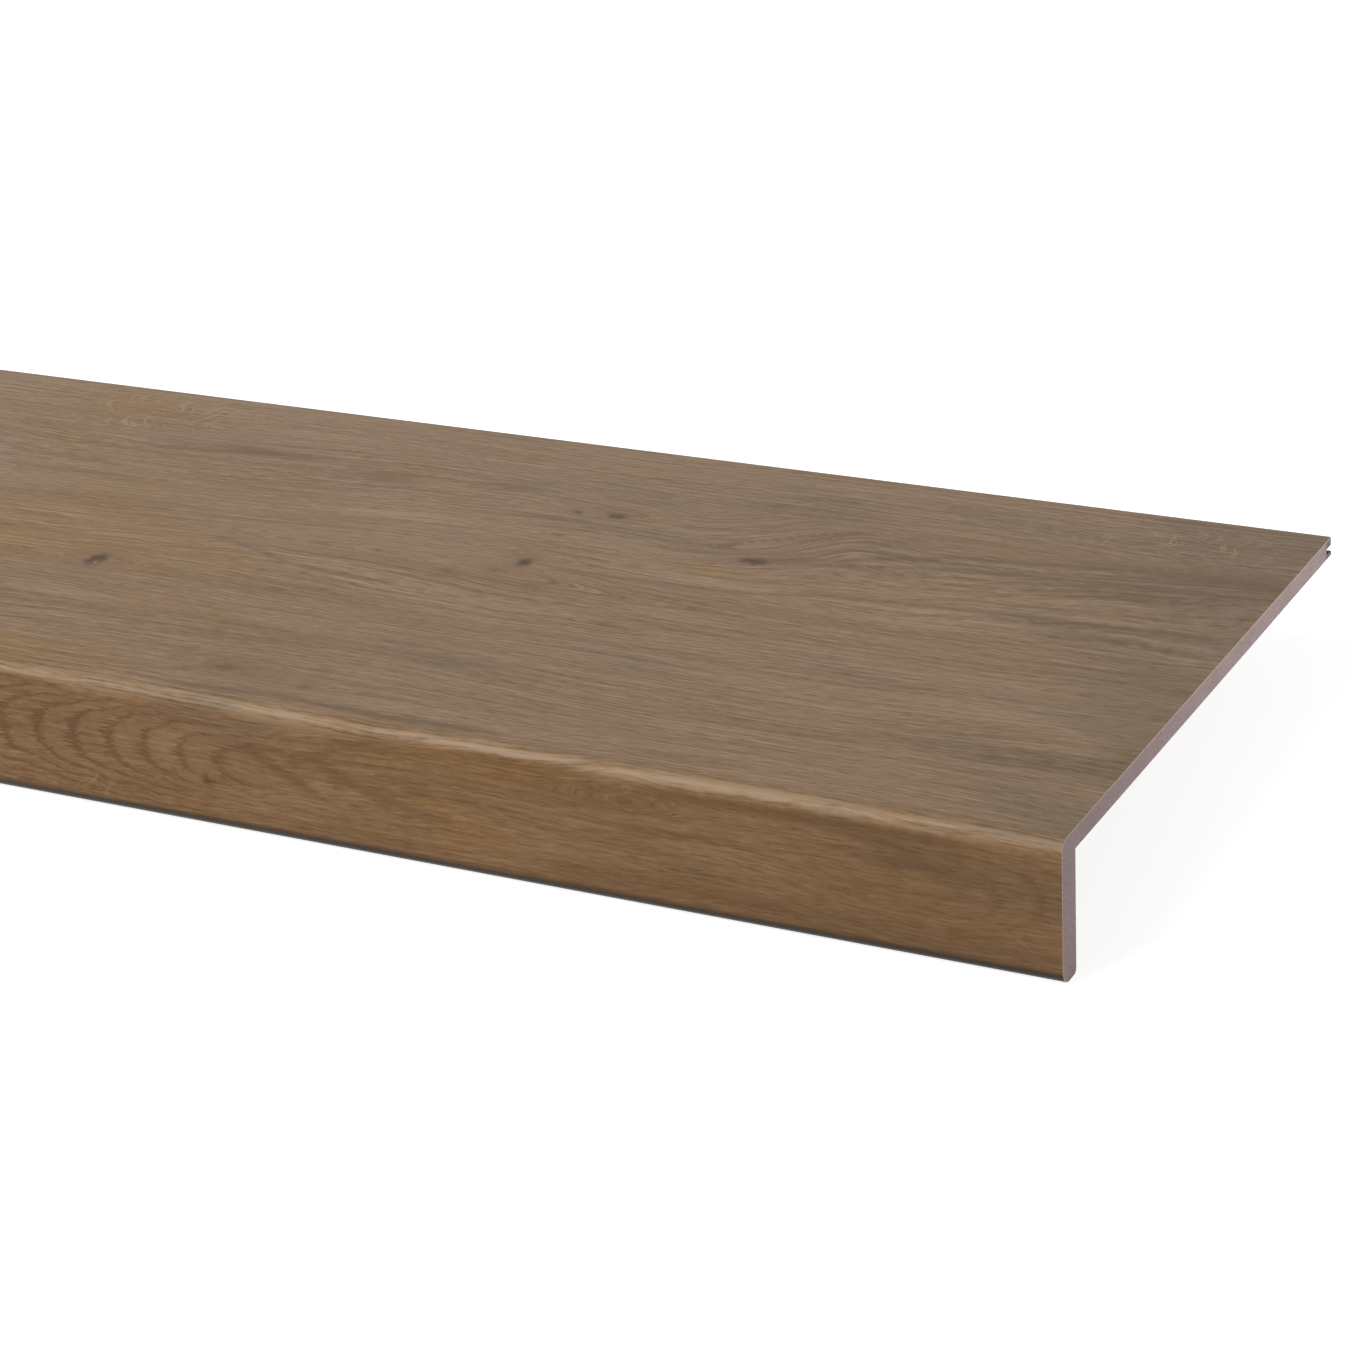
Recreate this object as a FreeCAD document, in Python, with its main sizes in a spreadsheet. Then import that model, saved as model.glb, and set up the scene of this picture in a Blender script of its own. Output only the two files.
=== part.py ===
"""Laminate stair tread with a deep rounded nose, made to lie over an existing step.

The tread is an L in section: a flat board with a nose along its front edge.  A core of
high density fibreboard has a thin decorative laminate bonded over its top, round the
nose and down the front.  The back edge has a groove for the tongue of an extension board.

Millimetres.  X runs along the step, Y from the nose to the back edge and Z upwards.  The
origin is under the middle of the tread, level with the foot of the nose.
"""
import FreeCAD, Part
import math
import os

import Sketcher

SIZES = {
    # the whole tread
    "tread_length": 1000,
    "tread_depth": 300,
    "nose_height": 56,
    # the L section
    "board_thickness": 8,
    "nose_thickness": 12.8,
    "nose_top_radius": 5,
    "nose_front_radius": 6.5,
    "nose_back_radius": 2,
    # the laminate, and how far it is carried round the nose's lower front edge, in degrees
    "laminate_thickness": 0.6,
    "laminate_wrap": 75,
    # the grooved back edge
    "upper_lip_thickness": 3.5,
    "groove_height": 2.5,
    "groove_depth": 5.5,
    "lower_lip_reach": 0.7,
    "lower_lip_radius": 1,
}

# places across the section (Y) and up it (Z), and radii, that follow from the sizes
PLACES = {
    "nose_face": "=-tread_depth / 2",
    "core_face": "=nose_face + laminate_thickness",
    "nose_back": "=nose_face + nose_thickness",
    "back_edge": "=tread_depth / 2",
    "upper_lip_edge": "=back_edge - lower_lip_reach",
    "groove_floor": "=upper_lip_edge - groove_depth",
    "core_top": "=nose_height - laminate_thickness",
    "underside": "=nose_height - board_thickness",
    "groove_top": "=nose_height - upper_lip_thickness",
    "groove_bottom": "=groove_top - groove_height",
    "inner_top_radius": "=nose_top_radius - laminate_thickness",
    "inner_front_radius": "=nose_front_radius - laminate_thickness",
    "lip_tip_radius": "=min(lower_lip_radius; (groove_bottom - underside) / 2)",
}

# directions in the section, whose first axis is Y and whose second is Z
UP = FreeCAD.Vector(0, 1, 0)
BACK = FreeCAD.Vector(1, 0, 0)
DOWN = -UP
FRONT = -BACK
NORMAL = FreeCAD.Vector(0, 0, 1)

# a sketch's level axis, whose first point is the sketch's origin, and the points of a stretch
LEVEL_AXIS = -1
START, END, CENTRE = range(1, 4)


def fill_sheet(doc):
    """Put every size in a sheet, one row each, with its name as the cell's alias."""
    sheet = doc.addObject("Spreadsheet::Sheet", "sizes")
    for row, (name, content) in enumerate({**SIZES, **PLACES}.items(), start=1):
        sheet.set(f"A{row}", name)
        sheet.set(f"B{row}", str(content))
        sheet.setAlias(f"B{row}", name)
    doc.recompute()
    return sheet


class Section:
    """A closed outline across the tread, in its body's YZ plane.

    Each stretch is drawn from where the last one ended, at the places that the sheet
    gives, and then tied to the same places by constraints.
    """

    def __init__(self, body, sheet, name):
        self.sheet = sheet
        self.sketch = body.newObject("Sketcher::SketchObject", name)
        plane = next(item for item in body.Origin.OriginFeatures if item.Role == "YZ_Plane")
        self.sketch.AttachmentSupport = [(plane, "")]
        self.sketch.MapMode = "FlatFace"
        self.stretches = []

    def begin(self, across, up):
        """Set the point where the outline begins."""
        self.point = FreeCAD.Vector(across, up, 0)

    def line(self, across, up, smooth=False):
        """Draw a straight stretch to a point, level or upright where it is one."""
        end = FreeCAD.Vector(across, up, 0)
        index = self.sketch.addGeometry(Part.LineSegment(self.point, end), False)
        self.stretches.append((index, START, END, smooth))
        if math.isclose(self.point.y, up, abs_tol=1e-6):
            self.sketch.addConstraint(Sketcher.Constraint("Horizontal", index))
        elif math.isclose(self.point.x, across, abs_tol=1e-6):
            self.sketch.addConstraint(Sketcher.Constraint("Vertical", index))
        self.point = end
        return index

    def arc(self, radius, first, last, smooth=True):
        """Draw a round stretch from one direction of its centre to another, the shorter way."""
        centre = self.point - first * radius
        circle = Part.Circle(centre, NORMAL, radius)
        forwards = first.cross(last).dot(NORMAL) > 0
        begin, finish = (first, last) if forwards else (last, first)
        low = math.atan2(begin.y, begin.x)
        high = low + begin.getAngle(finish)
        index = self.sketch.addGeometry(Part.ArcOfCircle(circle, low, high), False)
        ends = (START, END) if forwards else (END, START)
        self.stretches.append((index, *ends, smooth))
        self.point = centre + last * radius
        return index

    def close(self):
        """Join each stretch to the one before it, tangent where it flows on smoothly."""
        for number, (index, start, _, smooth) in enumerate(self.stretches):
            before, _, end, _ = self.stretches[number - 1]
            kind = "Tangent" if smooth else "Coincident"
            self.sketch.addConstraint(Sketcher.Constraint(kind, before, end, index, start))

    def tie(self, kind, *places, size, sign=""):
        """Add a constraint whose value is a size of the sheet."""
        value = abs(getattr(self.sheet, size))
        if kind == "Angle":
            value = math.radians(value)
        number = self.sketch.addConstraint(Sketcher.Constraint(kind, *places, value))
        name = f"{size}_{number}"
        self.sketch.renameConstraint(number, name)
        self.sketch.setExpression(f"Constraints.{name}", f"{sign}sizes.{size}")

    def across(self, index, size):
        """Tie where a line starts, across the section, to a place ahead of or behind X = 0."""
        if getattr(self.sheet, size) < 0:
            self.tie("DistanceX", index, START, LEVEL_AXIS, START, size=size, sign="-")
        else:
            self.tie("DistanceX", LEVEL_AXIS, START, index, START, size=size)

    def height(self, index, size, point=START):
        """Tie the height of a stretch's start, or of an arc's centre, to a place."""
        self.tie("DistanceY", LEVEL_AXIS, START, index, point, size=size)

    def on_floor(self, index):
        """Put a level line on the floor."""
        self.sketch.addConstraint(Sketcher.Constraint("PointOnObject", index, START, LEVEL_AXIS))

    def radius(self, index, size):
        """Tie an arc's radius to a size."""
        self.tie("Radius", index, size=size)

    def sweep(self, index, size):
        """Tie the angle that an arc turns through to a size."""
        self.tie("Angle", index, size=size)

    def concentric(self, index, other):
        """Give two arcs one centre."""
        self.sketch.addConstraint(Sketcher.Constraint("Coincident", index, CENTRE, other, CENTRE))

    def radial(self, line, arc):
        """Aim a line at an arc's centre."""
        self.sketch.addConstraint(Sketcher.Constraint("PointOnObject", arc, CENTRE, line))

    def pad(self, body, name):
        """Carry the outline along the tread's whole length, half each way."""
        pad = body.newObject("PartDesign::Pad", name)
        pad.Profile = self.sketch
        pad.SideType = "Symmetric"
        pad.setExpression("Length", "sizes.tread_length")


def end_of_wrap(sheet):
    """The direction, from the centre of the nose's lower rounding, in which the laminate ends."""
    return FreeCAD.Rotation(NORMAL, sheet.laminate_wrap).multVec(FRONT)


def make_laminate(doc, sheet):
    """The decorative laminate: a skin over the top, round the nose and down the front."""
    body = doc.addObject("PartDesign::Body", "decor_laminate")
    body.Label = "decor_laminate"
    skin = Section(body, sheet, "laminate_section")
    wrap_end = end_of_wrap(sheet)

    # the decorative face, from the back edge over the nose to the end of the wrap
    skin.begin(sheet.upper_lip_edge, sheet.nose_height)
    top = skin.line(sheet.nose_face + sheet.nose_top_radius, sheet.nose_height)
    nose = skin.arc(sheet.nose_top_radius, UP, FRONT)
    front = skin.line(sheet.nose_face, sheet.nose_front_radius, smooth=True)
    foot = skin.arc(sheet.nose_front_radius, FRONT, wrap_end)

    # the trimmed end, and the bonded face back to the start
    bonded = skin.point - wrap_end * sheet.laminate_thickness
    trim = skin.line(bonded.x, bonded.y)
    inner_foot = skin.arc(sheet.inner_front_radius, wrap_end, FRONT, smooth=False)
    inner_front = skin.line(sheet.core_face, sheet.nose_height - sheet.nose_top_radius, smooth=True)
    inner_nose = skin.arc(sheet.inner_top_radius, FRONT, UP)
    skin.line(sheet.upper_lip_edge, sheet.core_top, smooth=True)
    skin.line(sheet.upper_lip_edge, sheet.nose_height)
    skin.close()

    skin.across(top, "upper_lip_edge")
    skin.height(top, "nose_height")
    skin.radius(nose, "nose_top_radius")
    skin.across(front, "nose_face")
    skin.radius(foot, "nose_front_radius")
    skin.height(foot, "nose_front_radius", CENTRE)
    skin.sweep(foot, "laminate_wrap")
    skin.radial(trim, foot)
    skin.concentric(inner_foot, foot)
    skin.across(inner_front, "core_face")
    skin.concentric(inner_nose, nose)
    skin.pad(body, "laminate_skin")
    return body


def make_core(doc, sheet):
    """The fibreboard core: the L itself, with the groove and its two lips at the back."""
    body = doc.addObject("PartDesign::Body", "fibreboard_core")
    body.Label = "fibreboard_core"
    core = Section(body, sheet, "core_section")
    wrap_end = end_of_wrap(sheet)
    foot_end = sheet.nose_back - sheet.nose_back_radius

    # under the laminate, from the upper lip over the nose to the end of the wrap
    core.begin(sheet.upper_lip_edge, sheet.core_top)
    top = core.line(sheet.nose_face + sheet.nose_top_radius, sheet.core_top)
    nose = core.arc(sheet.inner_top_radius, UP, FRONT)
    front = core.line(sheet.core_face, sheet.nose_front_radius, smooth=True)
    under_wrap = core.arc(sheet.inner_front_radius, FRONT, wrap_end)

    # out past the laminate's end, along the nose's foot and up its back
    bare = core.point + wrap_end * sheet.laminate_thickness
    step = core.line(bare.x, bare.y)
    bare_front = core.arc(sheet.nose_front_radius, wrap_end, DOWN, smooth=False)
    foot = core.line(foot_end, 0, smooth=True)
    heel = core.arc(sheet.nose_back_radius, DOWN, BACK)
    nose_back = core.line(sheet.nose_back, sheet.underside, smooth=True)

    # along the underside to the lower lip's rounded tip
    underside = core.line(sheet.back_edge, sheet.underside)
    tip = core.line(sheet.back_edge, sheet.groove_bottom - sheet.lip_tip_radius)
    tip_round = core.arc(sheet.lip_tip_radius, BACK, UP)

    # round the groove and up the upper lip
    groove_bottom = core.line(sheet.groove_floor, sheet.groove_bottom, smooth=True)
    groove_floor = core.line(sheet.groove_floor, sheet.groove_top)
    groove_top = core.line(sheet.upper_lip_edge, sheet.groove_top)
    core.line(sheet.upper_lip_edge, sheet.core_top)
    core.close()

    core.across(top, "upper_lip_edge")
    core.height(top, "core_top")
    core.radius(nose, "inner_top_radius")
    core.across(front, "core_face")
    core.radius(under_wrap, "inner_front_radius")
    core.sweep(under_wrap, "laminate_wrap")
    core.radial(step, under_wrap)
    core.concentric(bare_front, under_wrap)
    core.radius(bare_front, "nose_front_radius")
    core.on_floor(foot)
    core.radius(heel, "nose_back_radius")
    core.across(nose_back, "nose_back")
    core.height(underside, "underside")
    core.across(tip, "back_edge")
    core.radius(tip_round, "lip_tip_radius")
    core.height(groove_bottom, "groove_bottom")
    core.across(groove_floor, "groove_floor")
    core.height(groove_top, "groove_top")
    core.pad(body, "core_blank")
    return body


def check(doc, bodies):
    """Stop if any feature failed or a piece isn't one sound solid."""
    for item in doc.Objects:
        if "Invalid" in item.State or "Error" in item.State:
            raise RuntimeError(f"{item.Name} failed: {item.State}")
    for item in doc.findObjects("Sketcher::SketchObject"):
        if not item.FullyConstrained:
            raise RuntimeError(f"{item.Name} isn't fully constrained")
    for body in bodies:
        shape = body.Shape
        if shape.isNull() or not shape.isValid() or len(shape.Solids) != 1:
            raise RuntimeError(f"{body.Label} isn't one sound solid")


def main():
    """Build the tread and write each of its pieces."""
    doc = FreeCAD.newDocument("stair_tread")
    sheet = fill_sheet(doc)
    bodies = [make_core(doc, sheet), make_laminate(doc, sheet)]
    doc.recompute()
    check(doc, bodies)
    os.makedirs("parts", exist_ok=True)
    for body in bodies:
        body.Shape.exportStep(f"parts/{body.Label}.step")
        print(body.Label, round(body.Shape.Volume), "mm3", body.Shape.BoundBox)


main()
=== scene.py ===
"""Looks of a laminate stair tread: a fibreboard core under an oak decor laminate, on a pale stage.

The tread is two long pieces of one section each.  A section is drawn across the tread, as
distances back from the middle (Y) and up (Z), and is carried along X.  The laminate has
its own map, Grain, that unrolls it: along the tread, and across it over the round of the
nose.  The oak's figure is drawn on that map, so that it runs over the nose as a printed
sheet does.
"""

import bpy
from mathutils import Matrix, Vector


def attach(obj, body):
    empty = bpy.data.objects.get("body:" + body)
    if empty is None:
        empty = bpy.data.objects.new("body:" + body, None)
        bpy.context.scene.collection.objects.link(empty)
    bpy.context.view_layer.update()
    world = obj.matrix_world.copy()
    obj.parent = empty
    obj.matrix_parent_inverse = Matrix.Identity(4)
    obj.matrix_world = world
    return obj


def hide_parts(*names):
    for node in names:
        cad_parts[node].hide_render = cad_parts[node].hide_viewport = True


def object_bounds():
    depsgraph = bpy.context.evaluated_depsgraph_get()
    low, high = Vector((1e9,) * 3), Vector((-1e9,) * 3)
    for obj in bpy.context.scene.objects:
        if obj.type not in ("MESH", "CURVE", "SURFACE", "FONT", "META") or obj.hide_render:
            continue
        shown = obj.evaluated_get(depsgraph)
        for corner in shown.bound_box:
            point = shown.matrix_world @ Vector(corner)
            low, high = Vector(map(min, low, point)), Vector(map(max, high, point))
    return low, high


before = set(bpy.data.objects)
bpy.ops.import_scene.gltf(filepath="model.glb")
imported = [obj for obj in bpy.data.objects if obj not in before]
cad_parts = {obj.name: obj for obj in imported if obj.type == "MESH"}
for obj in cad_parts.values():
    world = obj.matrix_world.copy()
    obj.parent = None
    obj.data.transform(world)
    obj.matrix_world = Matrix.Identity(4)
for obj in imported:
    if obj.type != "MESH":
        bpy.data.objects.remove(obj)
CAD_BOX = [list(corner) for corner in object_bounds()]

import math
from typing import NamedTuple

import bpy
import numpy as np
from mathutils import Matrix, Vector

bl_info = {
    "name": "Laminate stair tread",
    "version": (1, 0, 0),
    "blender": (4, 5, 0),
    "location": "View3D > Sidebar > Stair tread",
    "description": "A stair tread with a deep rounded nose, in oak decor laminate on fibreboard",
    "category": "Add Mesh",
}

MM = 0.001
MICRON = 1e-6
LOW, HIGH = CAD_BOX
LAMINATE_NODE = "decor_laminate"
CORE_NODE = "fibreboard_core"
BODY = "root"

WHITE = (1, 1, 1, 1)
SHARP_EDGE = math.radians(30)
QUARTER = math.pi / 2

# the camera's sensor in millimetres, and how far the camera sees in metres
SENSOR = 36
CAMERA_REACH = 100

# the points that hold the print: how far apart they are across, and how many along
PRINT_PACE = 1.75 * MM
PRINT_STATIONS = 241
# a metre, which is longer than any run across the tread
UNCUT = 1


def paint(red, green, blue):
    """A colour written as on a paint card, 0 to 255, in the linear light that shaders use.

    The numbers are those of the standard curve of screens.
    """
    card = np.array([red, green, blue]) / 255
    return tuple(np.where(card <= 0.04045, card / 12.92, ((card + 0.055) / 1.055) ** 2.4))


def size(name, description, default):
    """A property that holds a length in metres."""
    return bpy.props.FloatProperty(
        name=name, description=description, default=default, precision=5, unit="LENGTH", subtype="DISTANCE"
    )


def angle(name, description, degrees):
    """A property that holds an angle, given in degrees and held in radians."""
    return bpy.props.FloatProperty(
        name=name,
        description=description,
        default=math.radians(degrees),
        precision=5,
        unit="ROTATION",
        subtype="ANGLE",
    )


def colour(name, description, *card):
    """A property that holds a colour."""
    return bpy.props.FloatVectorProperty(
        name=name, description=description, default=paint(*card), min=0, max=1, subtype="COLOR"
    )


def amount(name, description, default, low=0.0, high=1.0):
    """A property that holds a plain number."""
    return bpy.props.FloatProperty(
        name=name, description=description, default=default, min=low, max=high
    )


def place(name, description, default):
    """A property that holds a place in metres."""
    return bpy.props.FloatVectorProperty(
        name=name, description=description, default=default, unit="LENGTH", subtype="XYZ"
    )


def sides(name, description, default):
    """A property that holds a width and a height in metres."""
    return bpy.props.FloatVectorProperty(
        name=name, description=description, default=default, size=2, unit="LENGTH"
    )


class TreadSizes(bpy.types.PropertyGroup):
    """The tread's section and its length."""

    length: size("Length", "Along the step", HIGH[0] - LOW[0])
    depth: size("Depth", "From the nose to the back edge", HIGH[1] - LOW[1])
    height: size("Nose height", "From the foot of the nose to the top", HIGH[2] - LOW[2])
    board: size("Board", "Thickness of the flat board", 8 * MM)
    nose: size("Nose", "Thickness of the nose, front to back", 12.8 * MM)
    top_round: size("Top round", "Radius of the nose's upper edge", 5 * MM)
    foot_round: size("Foot round", "Radius of the nose's lower front edge", 6.5 * MM)
    heel_round: size("Heel round", "Radius of the nose's lower back edge", 2 * MM)
    laminate: size("Laminate", "Thickness of the laminate", 0.6 * MM)
    wrap: angle("Wrap", "How far the laminate goes round the foot", 75)
    upper_lip: size("Upper lip", "Thickness above the groove", 3.5 * MM)
    groove: size("Groove", "Height of the groove", 2.5 * MM)
    groove_depth: size("Groove depth", "From the upper lip's edge inwards", 5.5 * MM)
    lip_reach: size("Lip reach", "How far the lower lip passes the upper one", 0.7 * MM)
    lip_round: size("Lip round", "Radius of the lower lip's upper edge", 1 * MM)


class OakColours(bpy.types.PropertyGroup):
    """The printed oak of the laminate, its cut edge and its gloss."""

    pale: colour("Pale wood", "Late wood between the growth lines", 160, 134, 107)
    dark: colour("Dark wood", "Early wood, growth lines and pores", 117, 90, 58)
    cool: colour("Cool wood", "Tint of the cool bands", 231, 234, 240)
    warm: colour("Warm wood", "Tint of the warm bands", 251, 240, 207)
    # nose: the tint of the board printed on the nose, and also painted shade that keeps the nose's front
    # darker than the top
    nose: colour("Nose board", "Tint of the board printed on the nose", 241, 229, 214)
    stain: colour("Stained wood", "The stained bands beside the knots", 102, 77, 57)
    halo: colour("Halo", "The ruddy wood round a knot", 125, 92, 64)
    knot: colour("Knot", "The heart of a knot", 76, 52, 28)
    slit: colour("Slit", "The pale crack in a knot", 146, 132, 112)
    ray: colour("Ray", "Pale rays across the grain", 170, 144, 112)
    # foot: the laminate's darker end under the foot, darkened further as painted shade for the contact
    # shadow there
    foot: colour("Foot line", "Laminate where it turns under the foot", 36, 22, 6)
    sawn: colour("Sawn edge", "The cut edge of the laminate", 172, 154, 146)
    gloss: amount("Roughness", "Roughness of the satin overlay", 0.40)


class CoreColours(bpy.types.PropertyGroup):
    """The bare fibreboard."""

    face: colour("Sawn face", "The ground of the sawn board", 161, 142, 141)
    fibre: colour("Fibre", "Dark fibre bundles", 120, 105, 102)
    dust: colour("Dust", "Pale fibre ends", 182, 168, 164)
    milled: colour("Milled face", "The groove and the lips", 126, 115, 109)
    # dark_lips: the sawn ends of the lips beyond the groove's floor, darker and greyer than the face
    dark_lips: colour("Waxed lips", "The sawn ends of the lips, darkened by wax", 88, 88, 82)
    sanded: colour("Sanded face", "The underside and the back of the nose", 148, 132, 126)


class StageLook(bpy.types.PropertyGroup):
    """The camera, the lamps and the floor."""

    camera: place("Camera", "Where the camera stands", (0.90605, -1.18038, 0.60325))
    azimuth: angle("Azimuth", "How far the camera stands to the right", 28.116)
    pitch: angle("Pitch", "How far the camera looks down", 23.463)
    roll: angle("Roll", "How far the camera leans", -3.186)
    lens: amount("Lens", f"Focal length in millimetres on a {SENSOR} mm sensor", 96.70, 10, 500)
    floor: amount("Floor", "Half the width of the floor in metres", 9, 1, 50)
    cloth: amount("Cloth", "How much light the floor sends back", 0.6)
    sky: amount("Sky", "Strength of the light from all sides", 0.20, 0, 5)
    glow: amount("Glow", "How white the floor's shaded part looks", 0.84)
    bounce: amount("Bounce", "Light that the floor throws up by itself", 0.20)
    key: amount("Key", "Power of the key lamp, in watts", 250, 0, 5000)
    key_place: place("Key place", "Where the key lamp hangs", (-2.1, -3.0, 3.8))
    key_size: sides("Key size", "Width and height of the key lamp", (3.3, 2.4))
    fill: amount("Fill", "Power of the fill lamp, in watts", 0.57, 0, 5000)
    fill_place: place("Fill place", "Where the fill lamp stands", (0.78, 0.12, 0.032))
    fill_size: sides("Fill size", "Width and height of the fill lamp", (0.3, 0.045))


class Wire:
    """An output in a node tree.  Sums on wires are plain Python, and each adds a Math node."""

    def __init__(self, tree, socket=None):
        self.tree = tree
        self.socket = socket

    def node(self, kind, settings=None, inputs=None, output=0):
        """One new node: its settings first, then its inputs as values or wires; gives one output."""
        made = self.tree.nodes.new("ShaderNode" + kind)
        for name, setting in (settings or {}).items():
            setattr(made, name, setting)
        for name, value in (inputs or {}).items():
            if isinstance(value, Wire):
                self.tree.links.new(value.socket, made.inputs[name])
            else:
                made.inputs[name].default_value = value
        return Wire(self.tree, made.outputs[output])

    def math(self, operation, *others):
        """A Math node on this wire and any others."""
        return self.node("Math", {"operation": operation}, dict(enumerate((self, *others))))

    def __add__(self, other):
        return self.math("ADD", other)

    def __sub__(self, other):
        return self.math("SUBTRACT", other)

    def __rsub__(self, other):
        return self.node("Math", {"operation": "SUBTRACT"}, {0: other, 1: self})

    def __mul__(self, other):
        return self.math("MULTIPLY", other)

    def __truediv__(self, other):
        return self.math("DIVIDE", other)

    def __neg__(self):
        return self.math("MULTIPLY", -1)

    __radd__ = __add__
    __rmul__ = __mul__

    def ramp(self, start, stop, low=0.0, high=1.0):
        """Goes smoothly from low to high as this wire goes from start to stop."""
        limits = {"From Min": start, "From Max": stop, "To Min": low, "To Max": high}
        return self.node("MapRange", {"interpolation_type": "SMOOTHSTEP"}, {"Value": self, **limits})

    def mix(self, low, high):
        """A colour that goes from low to high as this wire goes from 0 to 1."""
        colours = {0: self, 6: opaque(low), 7: opaque(high)}
        return self.node("Mix", {"data_type": "RGBA"}, colours, output=2)

    def tinted(self, how_much, tint):
        """This colour, multiplied by a tint as how_much goes from 0 to 1."""
        colours = {0: how_much, 6: self, 7: opaque(tint)}
        return self.node("Mix", {"data_type": "RGBA", "blend_type": "MULTIPLY"}, colours, output=2)

    def either(self, low, high):
        """A number that goes from low to high as this wire goes from 0 to 1."""
        return self.node("Mix", {"data_type": "FLOAT"}, {0: self, 2: low, 3: high})

    def point(self, across):
        """A point of a flat pattern: this wire along, and another across."""
        return self.node("CombineXYZ", inputs={0: self, 1: across})


def opaque(tint):
    """A colour with its fourth number, or a wire as it is."""
    return tint if isinstance(tint, Wire) else (*tint, 1.0)


class Knot(NamedTuple):
    """A knot of the print, in millimetres on the unrolled laminate.

    Its place, how far the grain bends round it along and across, its heart's half length and
    half width, and how dark the heart is.
    """

    along: float
    across: float
    reach: float = 1.0
    spread: float = 0.0
    length: float = 1.0
    width: float = 1.0
    dark: float = 0.0


# along from the middle of the tread to the right, and across from the face of the nose
KNOTS = (
    Knot(along=28, across=106, reach=20, spread=6.0, length=4.2, width=6.5, dark=1.0),
    Knot(along=201, across=163.8, reach=20, spread=4.5, length=3.8, width=5.0, dark=0.8),
    Knot(along=213, across=223, reach=16, spread=4.5, length=6.0, width=3.6, dark=0.62),
    Knot(along=194.5, across=222, reach=12, spread=2.5, length=3.2, width=2.5, dark=0.55),
    Knot(along=290, across=196.5, reach=20, spread=4.5, length=7.2, width=3.2, dark=0.8),
    Knot(along=198, across=188, reach=12, spread=1.5, length=3.1, width=1.9, dark=0.3),
    Knot(along=292, across=182.5, reach=12, spread=1.5, length=3.8, width=1.9, dark=0.3),
    Knot(along=472, across=197, reach=20, spread=3.0, length=5.0, width=8.8, dark=0.22),
    Knot(along=466, across=117.5, reach=20, spread=3.5, length=6.2, width=5.0, dark=0.28),
    Knot(along=144, across=28, reach=20, spread=4.0, length=5.6, width=4.5, dark=0.4),
    Knot(along=183, across=23, reach=18, spread=3.5, length=5.0, width=3.8, dark=0.35),
    Knot(along=150, across=-33, reach=14, spread=3.0, length=4.0, width=3.0, dark=0.5),
    Knot(along=331, across=-11, reach=18, spread=5.0, length=8.8, width=2.2, dark=0.3),
    Knot(along=418, across=-31, reach=14, spread=2.0, length=10.0, width=1.6, dark=0.35),
    Knot(along=-315, across=188, reach=22, spread=4.5, length=5.6, width=4.2, dark=0.75),
    Knot(along=-180, across=62, reach=20, spread=4.0, length=4.5, width=4.8, dark=0.8),
    Knot(along=-405, across=110, reach=20, spread=3.5, length=3.8, width=3.2, dark=0.6),
)
SLIT = Knot(along=29.5, across=103, length=0.9, width=2.2)
# how far a knot's ragged edge strays, and how much wider than its heart the halo is
RAGGED = (8, 7, 0)
HALO_LENGTH = 3
HALO_WIDTH = 2.4
# long eyes, where the growth lines close round a hump of the log, and their rings
EYES = (
    Knot(along=165, across=143, reach=85, spread=7.0),
    Knot(along=-300, across=128, reach=110, spread=8.0),
)
EYE_RINGS = 2.5

# where the strip along the back edge begins, and how far its growth lies from the top's
STRIP_EDGE = 247
STRIP_SHIFT = 23
# where the board printed on the nose begins, and where painted shade darkens the laminate under the foot
NOSE_EDGE = -3.5
FOOT_SHADE = (-46.5, -51.0)
# the middle and the reach of the painted highlight band over the round
PAINTED_HIGHLIGHT_BAND = (0.6, 3)
# from one growth line to the next, and the growth lines' strength where no spot adds to it
GROWTH_PITCH = 4.6
GROWTH_STRENGTH = 0.10


class Streak(NamedTuple):
    """A dark line of the print, in millimetres.

    Its points' places along and across, half its width, and how dark it is.
    """

    along: tuple
    across: tuple
    width: float
    dark: float


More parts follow.
